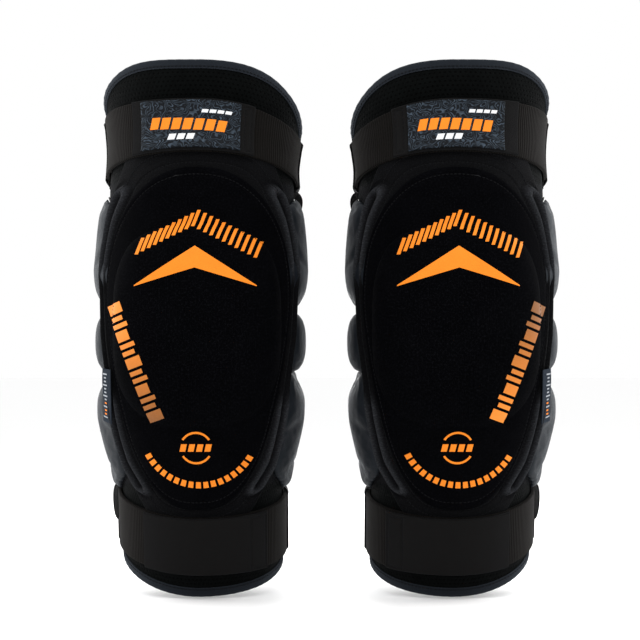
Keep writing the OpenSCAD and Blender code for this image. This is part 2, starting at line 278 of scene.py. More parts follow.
def band(name, guard, at, width, angles, low, thick, edge=0.9, bump=None, step=2.0):
    """A strip of webbing round the leg, or round part of it, with rounded edges."""
    s = eased(at - width / 2, at + width / 2, max(3, int(width / step)), edge)
    full = angles is None
    if full:
        a = np.linspace(-math.pi, math.pi, 220, endpoint=False)
        side = np.ones(len(a))
    else:
        first, last = (x * DEG for x in angles)
        r = float(sleeve_radius(at)) + low
        a = eased(first, last, max(4, int((last - first) * r / step)), edge / r)
        side = rounded(a, first, last, edge / r)
    s, a = np.meshgrid(s, a, indexing="ij")
    lift = rounded(s, at - width / 2, at + width / 2, edge) * side[None, :]
    h = low + thick * (0.25 + 0.75 * lift)
    if bump is not None:
        h = h + bump(s, a) * lift
    return slab(name, guard, place(s, a, h), place(s, a, low + 0 * h), cloth_uv(s, a, full), full)


# ---- node materials ----


class Tree:
    """A material's nodes, added by type with their input values or links."""

    def __init__(self, name):
        self.material = bpy.data.materials.new(name)
        self.material.use_nodes = True
        self.nodes = self.material.node_tree.nodes
        self.links = self.material.node_tree.links
        self.shader = next(n for n in self.nodes if n.type == "BSDF_PRINCIPLED")

    def add(self, kind, inputs=None, **settings):
        made = self.nodes.new("ShaderNode" + kind)
        for key, value in settings.items():
            setattr(made, key, value)
        for key, value in (inputs or {}).items():
            self.set(made.inputs[key], value)
        return made

    def set(self, socket, value):
        if isinstance(value, bpy.types.NodeSocket):
            self.links.new(value, socket)
        elif isinstance(value, tuple) and len(value) == 3 and socket.type == "RGBA":
            socket.default_value = (*value, 1)
        else:
            socket.default_value = value

    def math(self, operation, a, b=0.0):
        return self.add("Math", {0: a, 1: b}, operation=operation).outputs[0]

    def plus(self, a, b):
        return self.math("ADD", a, b)

    def times(self, a, b):
        return self.math("MULTIPLY", a, b)

    def mix(self, share, a, b):
        made = self.add("Mix", data_type="RGBA")
        for socket, value in ((0, share), (6, a), (7, b)):
            self.set(made.inputs[socket], value)
        return made.outputs[2]

    def cloth(self, scale=(1.0, 1.0, 1.0)):
        """Cloth coordinates, in centimetres times scale."""
        uv = self.add("UVMap", uv_map="cloth").outputs[0]
        return self.add("Mapping", {0: uv, "Scale": scale}).outputs[0]

    def solid(self, scale=(1.0, 1.0, 1.0)):
        """Coordinates in the object's own space, in centimetres times scale."""
        own = self.add("TexCoord").outputs["Object"]
        scale = tuple(1 / (10 * MM) * k for k in scale)
        return self.add("Mapping", {0: own, "Scale": scale}).outputs[0]

    def noise(self, vector, scale, detail=3.0, rough=0.55):
        inputs = {"Vector": vector, "Scale": scale, "Detail": detail, "Roughness": rough}
        return self.add("TexNoise", inputs).outputs[0]

    def wave(self, vector, scale, direction, distortion):
        inputs = {"Vector": vector, "Scale": scale, "Distortion": distortion}
        return self.add("TexWave", inputs, bands_direction=direction).outputs["Fac"]

    def ramp(self, value, low, high):
        inputs = {"Value": value, "From Min": low, "From Max": high}
        return self.add("MapRange", inputs, clamp=True).outputs[0]

    def bump(self, height, distance, strength=1.0, below=None):
        inputs = {"Height": height, "Distance": distance * MM, "Strength": strength}
        if below is not None:
            inputs["Normal"] = below
        return self.add("Bump", inputs).outputs[0]

    def finish(self, colour, rough, normal, gloss=None, sheen=None, gloss_tint=None):
        """Sets the shader's sockets. A sheen is its weight, roughness and tint."""
        values = {"Base Color": colour, "Roughness": rough, "Normal": normal}
        if sheen:
            values |= zip(("Sheen Weight", "Sheen Roughness", "Sheen Tint"), sheen)
        if gloss_tint:
            values["Specular Tint"] = gloss_tint
        if gloss is not None:
            values["Specular IOR Level"] = gloss
        for key, value in values.items():
            self.set(self.shader.inputs[key], value)
        return self.material


def knit(name, dark, light, pitch, sheen, gloss, cord_highlight=None):
    """A warp knit: fine rows of loops, flecks of lighter yarn and slow unevenness.

    With a highlight colour, that colour is painted on as a highlight where the mesh is marked as
    raised: along the cords' crests."""
    t = Tree(name)
    where = t.cloth()
    rows = t.wave(where, 3.14 / pitch, "Y", 0.6)
    wales = t.wave(where, 2.0 / pitch, "X", 0.8)
    loops = t.times(rows, wales)
    fleck = t.ramp(t.noise(where, 34 / pitch, 2.0), 0.42, 0.72)
    slow = t.noise(where, 0.55, 4.0)
    share = t.plus(t.times(fleck, 0.55), t.times(loops, 0.25))
    share = t.plus(share, t.times(t.ramp(slow, 0.35, 0.75), 0.3))
    grain = t.ramp(t.noise(where, 8.5, 4.0, 0.8), 0.5, 0.68)
    share = t.plus(t.times(share, 0.35), t.times(grain, 0.65))
    colour = t.mix(share, dark, light)
    # painted highlight: the raised cords are coloured lighter, as if lit, broken up by the grain
    if cord_highlight:
        raised = t.add("Attribute", attribute_name="raised").outputs["Fac"]
        wear_and_highlight = t.times(raised, t.plus(grain, 0.45))
        colour = t.mix(wear_and_highlight, colour, cord_highlight)
    coarse = t.bump(grain, 0.3, 0.5)
    normal = t.bump(t.plus(loops, fleck), 0.12, 0.7, coarse)
    return t.finish(colour, 0.85, normal, gloss, (sheen, 0.45, (0.6, 0.65, 0.75)))


def satin(name, dark, light):
    """The smooth brushed fabric over the side pads."""
    t = Tree(name)
    where = t.solid()
    grain = t.noise(where, 60.0, 2.0)
    brushed = t.noise(t.solid((1.0, 1.0, 0.25)), 9.0, 4.0)
    slow = t.ramp(t.noise(where, 0.6, 4.0), 0.3, 0.75)
    share = t.plus(t.times(slow, 0.5), t.times(brushed, 0.4))
    weave = t.wave(where, 14.0, "Z", 1.0)
    normal = t.bump(t.plus(grain, weave), 0.05, 0.5, t.bump(brushed, 0.2, 0.25))
    rough = t.ramp(grain, -1.4, 1.6)
    sheen = (0.05, 0.3, (0.62, 0.7, 0.85))
    return t.finish(t.mix(share, dark, light), rough, normal, 0.24, sheen, (0.78, 0.9, 1.0))


def mesh_knit(name, dark, light, hole, pitch=3.2):
    """A perforated spacer knit: staggered small holes in a rounded weave."""
    t = Tree(name)
    holes = t.add("Mapping", {0: t.cloth(), "Scale": (10 / pitch, 10 / pitch, 1)}).outputs[0]
    parts = t.add("SeparateXYZ", {0: holes})
    row = parts.outputs[1]
    shift = t.times(t.math("PINGPONG", t.math("FLOOR", row), 1.0), 0.5)
    x = t.math("SUBTRACT", t.math("FRACT", t.plus(parts.outputs[0], shift)), 0.5)
    y = t.math("SUBTRACT", t.math("FRACT", row), 0.5)
    away = t.math("SQRT", t.plus(t.times(x, x), t.times(y, y)))
    rim = t.ramp(away, 0.14, 0.3)
    fleck = t.ramp(t.noise(t.cloth(), 40.0, 2.0), 0.4, 0.75)
    slow = t.ramp(t.noise(t.cloth(), 0.6, 4.0), 0.3, 0.75)
    share = t.plus(t.times(fleck, 0.6), t.times(slow, 0.4))
    colour = t.mix(rim, hole, t.mix(share, dark, light))
    height = t.plus(rim, t.times(fleck, 0.25))
    normal = t.bump(height, 0.5, 0.9)
    return t.finish(colour, 0.85, normal, 0.03, (0.012, 0.5, (0.6, 0.68, 0.7)))


def elastic(name, dark, light, pitch=2.0, sheen=0.02):
    """Ribbed elastic webbing: ribs across the strap's run, crossed by fine picks."""
    t = Tree(name)
    where = t.cloth()
    ribs = t.wave(where, 3.14 / pitch, "X", 0.15)
    picks = t.wave(where, 3.6, "Y", 0.4)
    fleck = t.noise(where, 26.0, 3.0)
    raised = t.times(t.math("POWER", ribs, 1.6), 0.34)
    crossed = t.plus(raised, t.times(picks, 0.12))
    mottled = t.ramp(t.noise(where, 9.0, 4.0, 0.75), 0.36, 0.72)
    share = t.plus(crossed, t.times(mottled, 0.55))
    height = t.plus(ribs, t.times(picks, 0.3))
    normal = t.bump(t.plus(height, t.times(fleck, 0.5)), 0.3, 0.8)
    sheen = (sheen, 0.4, (0.8, 0.74, 0.7))
    return t.finish(t.mix(share, dark, light), 0.8, normal, 0.05, sheen)


def fuzzy(name, dark, light, sheen):
    """A napped tape, such as an edge binding or loop tape."""
    t = Tree(name)
    where = t.cloth()
    nap = t.noise(where, 30.0, 4.0, 0.7)
    slow = t.noise(where, 1.2, 3.0)
    share = t.plus(t.ramp(nap, 0.3, 0.9), t.times(slow, 0.2))
    sheen = (sheen, 0.55, (0.6, 0.68, 0.8))
    return t.finish(t.mix(share, dark, light), 0.92, t.bump(nap, 0.35, 0.9), 0.06, sheen)


def moulded(name, colour, wear_and_highlight, rough, grain=22.0):
    """Plastic, rubber or foam with a fine moulded grain and patches of slight wear."""
    t = Tree(name)
    where = t.solid()
    pits = t.add("TexVoronoi", {"Vector": where, "Scale": grain}).outputs["Distance"]
    slow = t.ramp(t.noise(where, 1.1, 4.0), 0.4, 0.8)
    colour = t.mix(t.times(slow, 0.6), colour, wear_and_highlight)
    return t.finish(colour, rough, t.bump(pits, 0.12, 0.5))


def printed(name, colour, thin):
    """A heat-pressed print, slightly uneven where the knit shows through."""
    t = Tree(name)
    where = t.solid()
    wear = t.ramp(t.noise(where, 26.0, 3.0), 0.45, 0.85)
    slow = t.ramp(t.noise(where, 1.3, 3.0), 0.4, 0.8)
    share = t.plus(t.times(wear, 0.35), t.times(slow, 0.25))
    normal = t.bump(t.noise(where, 60.0), 0.06, 0.5)
    return t.finish(t.mix(share, colour, thin), 0.6, normal, 0.12)


def fading(name, high, low, levels):
    """A print that fades from one colour to another between two heights, in centimetres."""
    t = Tree(name)
    where = t.solid()
    height = t.add("SeparateXYZ", {0: where}).outputs[2]
    share = t.ramp(t.plus(height, t.noise(where, 26.0, 3.0)), *levels)
    normal = t.bump(t.noise(where, 60.0), 0.06, 0.5)
    return t.finish(t.mix(share, high, low), 0.6, normal, 0.12)


def relief(name, ground, line):
    """The rubber label's ground: raised contour lines on a dark face."""
    t = Tree(name)
    where = t.cloth()
    bent = t.noise(where, 0.9, 1.5)
    lines = t.math("FRACT", t.times(bent, 17.0))
    ridge = t.ramp(t.math("PINGPONG", lines, 0.5), 0.24, 0.36)
    streak = t.ramp(t.noise(where, 3.0, 3.0), 0.3, 0.7)
    colour = t.mix(t.times(ridge, streak), ground, line)
    normal = t.bump(ridge, 0.25, 0.8)
    return t.finish(colour, 0.6, normal, 0.12)


MATERIALS = {
    "cover": knit("cover_knit", (0.0003, 0.0003, 0.0005), (0.0054, 0.0056, 0.007), 0.8, 0.003, 0.008),
    # the border's last colour is the painted highlight along its cords' crests
    "border": knit("border_knit", (0.0006, 0.0006, 0.0008), (0.0075, 0.0078, 0.009), 1.0, 0.015,
                   0.05, (0.036, 0.038, 0.043)),
    "sleeve": knit("sleeve_knit", (0.0012, 0.0012, 0.0014), (0.0075, 0.0075, 0.0082), 1.2, 0.03, 0.03),
    "inside": knit("lining_knit", (0.006, 0.0063, 0.007), (0.02, 0.021, 0.023), 1.4, 0.08, 0.04),
    "mesh": mesh_knit("mesh_knit", (0.0004, 0.0005, 0.0005), (0.0034, 0.0042, 0.0042), (0.0001,) * 3),
    "satin": satin("side_satin", (0.0018, 0.0023, 0.0035), (0.0072, 0.0088, 0.0125)),
    "binding": fuzzy("binding_tape", (0.003, 0.0036, 0.0048), (0.014, 0.018, 0.024), 0.12),
    "elastic": elastic("strap_elastic", (0.0007, 0.0006, 0.0005), (0.0105, 0.0092, 0.0082)),
    "tab": fuzzy("tab_tape", (0.0012, 0.0011, 0.0011), (0.0098, 0.0091, 0.0086), 0.03),
    "hook": fuzzy("hook_tape", (0.001, 0.001, 0.001), (0.006, 0.006, 0.006), 0.02),
    "keeper": elastic("keeper_tape", (0.0005, 0.0005, 0.0006), (0.004, 0.004, 0.0045), 1.2),
    "thread": elastic("sewing_thread", (0.003, 0.003, 0.0035), (0.0115, 0.0118, 0.0135), 0.6),
    "orange": printed("orange_print", (0.86, 0.235, 0.016), (0.72, 0.17, 0.011)),
    "fading_left": fading("print_fading_down", (0.80, 0.24, 0.03), (0.22, 0.085, 0.025), (1.0, -6.0)),
    "fading_right": fading("print_fading_up", (0.80, 0.24, 0.03), (0.22, 0.085, 0.025), (-5.0, 2.0)),
    "white": printed("white_print", (0.75, 0.76, 0.78), (0.5, 0.5, 0.52)),
    "yarn": printed("tag_yarn", (0.36, 0.38, 0.41), (0.16, 0.17, 0.19)),
    "label": relief("label_rubber", (0.002, 0.0032, 0.005), (0.05, 0.07, 0.094)),
    "tag": fuzzy("tag_weave", (0.006, 0.009, 0.014), (0.03, 0.038, 0.052), 0.05),
    "foam": moulded("pad_foam", (0.004, 0.0044, 0.0056), (0.01, 0.0105, 0.013), 0.9, 14.0),
    "cup": moulded("cup_plastic", (0.004, 0.004, 0.0045), (0.012, 0.012, 0.0125), 0.42, 30.0),
    "grip": moulded("grip_rubber", (0.06, 0.063, 0.066), (0.10, 0.103, 0.107), 0.6, 24.0),
}


def finish_piece(obj, body, *materials, slot=None, replaces=()):
    """Gives a piece its materials, its body and the nodes it stands for. Its slot is not used."""
    for name in materials:
        obj.data.materials.append(MATERIALS[name])
    if body:
        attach(obj, body)
    if replaces:
        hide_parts(*replaces)


def blend_knee(obj, guard, upper, near=KNEE_BLEND, away=HALF_BLEND):
    """Bakes a fabric piece's placement into its points, alike for both halves; it follows neither its
    half nor the knee part, and near and away are not used.
    """
    if upper:
        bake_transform(obj)
    else:
        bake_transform(obj)


# ---- sleeve ----


def paint_sleeve(obj, count):
    """Knit in front, mesh at the cuff and behind, and lining on the inner wall.

    The first count faces are the outer wall's, and the next count are the inner wall's."""
    mesh = obj.data
    middle = np.zeros(len(mesh.polygons) * 3, np.float32)
    mesh.polygons.foreach_get("center", middle)
    x, y, z = middle.reshape(-1, 3).T / MM
    across = np.abs(np.abs(x) - PAIR_SPACING / 2)
    index = np.where((np.abs(z) > CUFF_FROM) | ((y > BACK_FROM) & (across < BACK_HALF_W)), 1, 0)
    index[count : 2 * count] = 2
    mesh.polygons.foreach_set("material_index", index.astype(np.int32))


def sleeve_half(guard, upper):
    """One half of the padded tube, from the knee line to its slanted rim."""
    a = np.linspace(-math.pi, math.pi, 200, endpoint=False)
    t = np.linspace(0, 1, 90)
    t, a = np.meshgrid(t, a, indexing="ij")
    rim = rim_s(a, upper)
    s = t * rim if upper else (1 - t) * rim
    wrinkle = back_wrinkles(s, a)
    outer = place(s, a, wrinkle - panel_seams(a))
    inner = place(s, a, -SLEEVE_T + 0.5 * wrinkle)
    half = HALVES[upper]
    obj = slab(f"{guard}_{half}_sleeve_fabric", guard, outer, inner, cloth_uv(s, a, True), True)
    nodes = [f"{guard}_{half}_sleeve"] + ([f"{guard}_knee_sleeve"] if upper else [])
    finish_piece(obj, None, "sleeve", "mesh", "inside", slot="sleeve_knit", replaces=nodes)
    paint_sleeve(obj, (s.shape[0] - 1) * s.shape[1])
    blend_knee(obj, guard, upper, *SLEEVE_BLEND)


def panel_seams(a):
    """Depth of the pressed seams where the back panel joins the sides."""
    off = np.minimum(np.abs(a - PANEL_AT), np.abs(a + PANEL_AT)) * KNEE_R
    return SEAM_DEPTH * np.exp(-((off / SEAM_W) ** 2))


def back_wrinkles(s, a):
    """Soft folds behind the knee, where a pre-bent sleeve has cloth to spare."""
    near = np.exp(-((s / 42) ** 2)) * smooth((np.abs(a) - 1.9) / 0.6)
    return 1.1 * near * np.sin(s / 5.2 + 0.8 * np.cos(3 * a)) * 0.8


def rim_binding(guard, upper):
    """The tape folded over a rim: a rounded roll with a flat sewn leg on each face."""
    a = np.linspace(-math.pi, math.pi, 240, endpoint=False)
    up = 1 if upper else -1
    leg, roll = BINDING_H, 0.9
    profile = [(-leg, 0.25), (-leg, 0.75), (-0.55 * leg, 0.95), (-1.6, 0.9), (-0.4, 0.85)]
    profile += [(0.5, 0.1), (roll, -1.2), (roll, -2.4), (0.4, -3.7), (-0.6, -4.15)]
    profile += [(-0.55 * leg, -4.2), (-leg, -4.0), (-leg, -3.6)]
    along, height = np.array(profile).T
    rim = rim_s(a, upper)[None, :]
    s = rim + up * along[:, None]
    h = height[:, None] + 0.12 * np.sin(a * 61)[None, :] * (along > -1)[:, None]
    points = place(s, a[None, :] + 0 * s, h)
    rows, cols = points.shape[:2]
    grid = numbered(rows, cols, True)
    grid = np.concatenate([grid, grid[:1]], axis=0)
    across = np.concatenate([np.cumsum(np.hypot(*np.diff(profile, axis=0).T)), [30.0]]) / 10
    across = np.concatenate([[0.0], across])
    around = np.linspace(-math.pi, math.pi, cols + 1) * KNEE_R / 10
    uv = np.stack(np.meshgrid(across, around, indexing="ij")[::-1], axis=-1)
    faces, uv_faces = quads(grid), quads(numbered(rows + 1, cols + 1))
    if not upper:
        faces, uv_faces = faces[:, ::-1], uv_faces[:, ::-1]
    node = f"{guard}_{HALVES[upper]}_binding"
    points, uv = points.reshape(-1, 3), uv.reshape(-1, 2)
    obj = add_mesh(f"{node}_tape", guard, points, faces, uv, uv_faces, 60)
    body = f"{guard}_{HALVES[upper]}_half"
    finish_piece(obj, body, "binding", slot="binding_tape", replaces=[node])


def grip_band(guard, upper):
    """The rubbery band inside a cuff, with raised wavy beads."""
    at, width = (141.7, 22.0) if upper else (-137.7, 28.0)
    a = np.linspace(-math.pi, math.pi, 260, endpoint=False)
    s = eased(at - width / 2, at + width / 2, 30, 0.8)
    s, a = np.meshgrid(s, a, indexing="ij")
    beads = np.sin((s + 1.6 * np.sin(a * 24)) * 2 * math.pi / 6.0)
    height = 0.35 + 0.6 * smooth((beads - 0.1) / 0.7)
    height = height * rounded(s, at - width / 2, at + width / 2, 0.8)
    outer = place(s, a, -SLEEVE_T - 0.05 + 0 * s)
    inner = place(s, a, -SLEEVE_T - 0.05 - height - 0.1)
    node = f"{guard}_{'thigh' if upper else 'calf'}_grip"
    obj = slab(f"{node}_band", guard, outer, inner, cloth_uv(s, a, True), True)
    body = f"{guard}_{HALVES[upper]}_half"
    finish_piece(obj, body, "grip", slot="grip_rubber", replaces=[node])


# ---- cover and its border ----


def cover_width(z):
    """Half width of the cover seen from the front."""
    up = np.clip((z - COVER_WIDEST) / (COVER_TOP - COVER_WIDEST), 0, 1)
    down = np.clip((COVER_WIDEST - z) / (COVER_WIDEST - COVER_BOTTOM), 0, 1)
    return COVER_HALF_W * np.where(
        z > COVER_WIDEST, (1 - up**2.3) ** (1 / 2.3), (1 - down**1.4) ** 0.37
    )


def cover_rim_h(s):
    """Height of the cover's edge above the sleeve: highest at the knee."""
    return 5.4 + 5.6 * np.exp(-((s / 78) ** 4))


def cup_rise(s, a):
    """How far the knee cup lifts the cover, zero outside the cup's rounded square."""
    q = (np.abs((s - 6) / 54) ** 3 + np.abs(a * KNEE_R / 60) ** 3) ** (1 / 3)
    return 10.6 * np.clip(1 - q**4, 0, 1) ** 0.6


def polar_outline(count=720):
    """The cover's outline as (s, a) over a full turn, with 0 at the inner side."""
    turn = np.linspace(-math.pi, math.pi, count)
    middle, half = (COVER_TOP + COVER_BOTTOM) / 2, (COVER_TOP - COVER_BOTTOM) / 2
    z = middle + half * np.sin(turn)
    x = np.sign(np.cos(turn)) * cover_width(z)
    s, a = on_front(x, z, 6.0 + 0 * x)
    for _ in range(3):
        s, a = on_front(x, z, cover_rim_h(s))
    return turn, s, a


def disc_grid(rows, cols):
    """A square grid squeezed onto a disc: its radius and turn at each grid point."""
    def closer(n):
        v = np.linspace(-1, 1, n)
        return np.sign(v) * (1 - (1 - np.abs(v)) ** 1.25)

    v, u = np.meshgrid(closer(rows), closer(cols), indexing="ij")
    x, y = u * np.sqrt(1 - v * v / 2), v * np.sqrt(1 - u * u / 2)
    return np.hypot(x, y), np.arctan2(y, x)


def vertex_normals(points):
    """Smooth normals of a grid of points."""
    normal = np.cross(np.gradient(points, axis=1), np.gradient(points, axis=0))
    return normal / np.maximum(np.linalg.norm(normal, axis=-1, keepdims=True), 1e-9)


def knee_halves(name, guard, outer, inner, uv, faces, sharp, normals=None):
    """Two closed pieces of one two-sided sheet, split at the knee line.

    Each comes with whether it is the upper one and the numbers of the points it uses."""
    count = outer.size // 3
    points = two_sided(outer, inner)
    height = points[faces][..., 2].mean(axis=1)
    for upper in (True, False):
        part = faces[(height > 0) == upper]
        edges = np.concatenate([part[:, [i, (i + 1) % 4]] for i in range(4)])
        key = np.sort(edges, axis=1)
        _, first, uses = np.unique(key, axis=0, return_index=True, return_counts=True)
        rim = edges[first[uses == 1]]
        skirt = np.stack([rim[:, 1], rim[:, 0], rim[:, 0] + count, rim[:, 1] + count], axis=1)
        whole = np.concatenate([part, part[:, ::-1] + count, skirt])
        used, packed = np.unique(whole, return_inverse=True)
        shading = None if normals is None else normals[used]
        obj = add_mesh(f"{guard}_{name}_{LEVELS[upper]}", guard, points[used],
                       packed.reshape(whole.shape), uv.reshape(-1, 2), whole % count, sharp, shading)
        yield upper, obj, used


def cover_surface(rho, turn):
    """The cover's outer face at a share of the way from its middle to its edge."""
    at, s_edge, a_edge = polar_outline()
    s_mid = -2.0
    s = s_mid + rho * (np.interp(turn, at, s_edge) - s_mid)
    a = rho * np.interp(turn, at, a_edge)
    rim = cover_rim_h(s)
    crown = 9.9 + 0.8 * np.exp(-((s / 60) ** 2))
    h = rim + (crown - rim) * (1 - rho**5) + cup_rise(s, a)
    lip = np.clip((rho - 0.955) / 0.045, 0, 1)
    h = h - 3.6 * (1 - np.sqrt(np.clip(1 - lip**2.2, 0, 1)))
    h = h - 0.5 * np.exp(-(((rho - 0.935) / 0.012) ** 2))
    h = h + 0.16 * np.sin(s / 9.1 + 2 * a) * np.sin(a * 7 + s / 23) * (1 - rho**4)
    return s, a, h


def front_cover(guard):
    """The long knitted cover over the knee cup and the two front pads."""
    rho, turn = disc_grid(170, 104)
    s, a, h = cover_surface(rho, turn)
    outer, inner = place(s, a, h), place(s, a, h - COVER_T)
    normals = vertex_normals(outer)
    made = list(knee_halves("cover", guard, outer, inner, cloth_uv(s, a),
                            quads(numbered(*rho.shape)), 0, two_sided(normals, -normals)))
    for upper, obj, _ in made:
        nodes = [f"{guard}_front_cover"] if upper else []
        finish_piece(obj, None, "cover", slot="cover_knit", replaces=nodes)
        blend_knee(obj, guard, upper)
    return [obj for _, obj, _ in made]


CORDS_AT, CORD_APART = 0.6, 0.17  # as shares of the border's width
CORD_ENDS = (-116.0, 106.0)


def border_outline(turn):
    """The border's outer edge as (s, a): a long shield from strap to strap."""
    z = 2.0 + 146.0 * np.sin(turn)
    heights = [-150.0, -101.0, -52.0, 0.0, 45.0, 96.0, 150.0]
    widths = [30.0, 55.0, 67.0, 73.5, 74.5, 66.0, 48.0]
    end = np.abs(np.sin(turn)) ** 18
    x = np.sign(np.cos(turn)) * np.interp(z, heights, widths) * np.sqrt(1 - end**2)
    return on_front(x, z, 11.0 * np.exp(-((z / 85) ** 4)) + 1.5)


def cord_height(z, across, apart):
    """Two raised cords, apart from a middle line, that join in a rounded end at both corners.

    Returns their height, and a share from 0 to 1 that says where their crests get a painted highlight."""
    low, high = CORD_ENDS
    past = np.maximum(np.maximum(z - high + apart, low + apart - z), 0)
    off = np.hypot(across, past)
    strong = 0.9 + 2.0 * smooth((np.abs(z + 3) - 30) / 30)
    cord = np.exp(-(((off - apart) / (0.5 * apart)) ** 2))
    beside = np.exp(-((off / (0.3 * apart)) ** 2)) + np.exp(-(((off / apart - 1.9) / 0.25) ** 2))
    # the second value is the painted highlight, strongest where the cords stand tallest
    return strong * cord - 0.9 * beside, cord * smooth((strong - 1.2) / 1.5)


def border_surface(t, turn):
    """The border's outer face at share t of the way from under the cover to its outer edge."""
    at, s_edge, a_edge = polar_outline()
    s_in, a_in = np.interp(turn, at, s_edge) * 0.94, np.interp(turn, at, a_edge) * 0.94
    s_out, a_out = border_outline(turn)
    s, a = s_in + t * (s_out - s_in), a_in + t * (a_out - a_in)
    base = cover_rim_h(s) - 2.9
    outer_h = 2.0 + 10.3 * np.exp(-((s / 88) ** 4))
    h = base + (outer_h - base) * smooth(t)
    width = np.hypot((a_out - a_in) * KNEE_R, s_out - s_in)
    z = place(s, a, h)[..., 2]
    # the second value is how much painted highlight each point of the cords gets
    raised, cord_highlight = cord_height(z, (t - CORDS_AT) * width, CORD_APART * width)
    h = h + raised - 0.5 * np.exp(-(((t - 0.3) / 0.02) ** 2))
    edge = np.clip((t - 0.9) / 0.1, 0, 1)
    h = h - (1 - np.sqrt(np.clip(1 - edge**2, 0, 1))) * np.minimum(2.2, h - 0.6)
    return s, a, h, cord_highlight


def front_border(guard):
    """The panel round the cover, with two raised cords that run down both sides and a painted
    highlight along their crests.
    """
    turn = np.linspace(-math.pi, math.pi, 420, endpoint=False)
    t = np.concatenate([np.linspace(0, 0.94, 60), [0.955, 0.97, 0.98, 0.99, 1.0]])
    t, turn = np.meshgrid(t, turn, indexing="ij")
    s, a, h, cord_highlight = border_surface(t, turn)
    outer, inner = place(s, a, h), place(s, a, SKIN + 0 * h)
    # painted highlight per point, for the border's material; none on the inner face
    cord_highlight_share = np.concatenate([cord_highlight.ravel(), np.zeros(cord_highlight.size)])
    faces = quads(numbered(*s.shape, True))[:, ::-1]
    for upper, obj, used in knee_halves("border", guard, outer, inner, cloth_uv(s, a), faces, 60):
        raised = obj.data.attributes.new("raised", "FLOAT", "POINT")
        raised.data.foreach_set("value", cord_highlight_share[used].astype(np.float32))
        finish_piece(obj, None, "border", slot="cover_knit")
        blend_knee(obj, guard, upper)


# ---- side pads ----


PADS = {  # outline as (s, across) corners, and thickness at the knee end and the far end
    "upper_pad": ([(17, -33), (62, -35), (90, -28), (103, -10), (103, 12), (92, 30), (60, 36),
                   (20, 36)], 14.0, 7.0),
    "lower_pad": ([(-22, -32), (-62, -36), (-98, -30), (-117, -10), (-117, 12), (-95, 27), (-60, 31),
                   (-28, 31)], 12.5, 9.5),
}
MID_TOP_R, MID_LOW_R, PAD_GAP = 17.0, 29.0, 2.8  # reach from the knee line, and gap past it
PAD_H = 0.8  # height of a pad's seam above the sleeve
PAD_TURNS = np.linspace(-math.pi, math.pi, 361)  # directions in which an outline is measured
PAD_VOXEL = 2.6  # face size in the simulation
PAD_START = 0.9  # share of its full height a pad starts from
PAD_PRESSURE, PAD_FRAMES = 4.0, 20
PAD_CAP, PAD_SIDEWAYS = 5.0, 0.25  # longest move, and the share of it kept along the leg


def outline_reach(points, middle, turn):
    """How far a closed outline of corners reaches from its middle, in each direction."""
    p = np.array(points, float) - middle
    q = np.roll(p, -1, axis=0)
    d = np.stack([np.cos(turn), np.sin(turn)], axis=-1)
    best = np.full(turn.shape, 1e9)
    for a, b in zip(p, q):
        e = b - a
        det = d[..., 0] * e[1] - d[..., 1] * e[0]
        det = np.where(np.abs(det) < 1e-9, 1e-9, det)
        reach = (a[0] * e[1] - a[1] * e[0]) / det
        share = (a[0] * d[..., 1] - a[1] * d[..., 0]) / det
        hit = (reach > 0) & (share >= -1e-6) & (share <= 1 + 1e-6)
        best = np.where(hit & (reach < best), reach, best)
    return best


def round_off(reach, turns):
    """Rounds an outline's corners by averaging its reach over a window of directions."""
    n = len(reach)
    window = np.exp(-0.5 * (np.arange(-turns * 3, turns * 3 + 1) / turns) ** 2)
    wide = np.concatenate([reach[-3 * turns:], reach, reach[: 3 * turns]])
    return np.convolve(wide, window / window.sum(), "valid")[:n]


def pad_point(s, c, h, side):
    """A point of a side pad: c is how far behind the leg's middle it is at the sleeve."""
    r = sleeve_radius(s)
    a = np.arccos(np.clip(-c / r, -0.999, 0.999))
    return place(s, side * a, h)


def pad_outline(kind):
    """A pad's middle, and how far its seam is from there in each direction."""
    if kind == "mid_pad":
        middle = np.array([(MID_TOP_R - MID_LOW_R) / 2, 1.0])
        return middle, np.full(PAD_TURNS.shape, (MID_TOP_R + MID_LOW_R) / 2)
    corners = PADS[kind][0]
    middle = np.array(corners, float).mean(axis=0)
    reach = round_off(outline_reach(corners, middle, PAD_TURNS)[:-1], 7)
    return middle, clear_of_knee(np.append(reach, reach[0]), middle, kind)


def pad_plan(kind):
    """Where a pad's grid lies on the leg, how near its seam, and how high it is filled there."""
    middle, reach = pad_outline(kind)
    rho, turn = disc_grid(56, 56)
    r = rho * np.interp(turn, PAD_TURNS, reach)
    s, c = middle[0] + r * np.cos(turn), middle[1] + r * np.sin(turn)
    if kind == "mid_pad":
        return s, c, rho, 13.6 * (1 - rho**2.6) ** 0.42
    _, knee_t, far_t = PADS[kind]
    thick = knee_t + (far_t - knee_t) * np.clip((np.abs(s) - 40) / 58, 0, 1)
    return s, c, rho, thick * (1 - rho**3.4) ** 0.42


def evaluated(obj):
    """A new mesh with an object's modifiers applied."""
    found = bpy.context.evaluated_depsgraph_get()
    return bpy.data.meshes.new_from_object(obj.evaluated_get(found))


def coordinates(mesh):
    """A mesh's points as an array."""
    flat = np.zeros(len(mesh.vertices) * 3)
    mesh.vertices.foreach_get("co", flat)
    return flat.reshape(-1, 3)


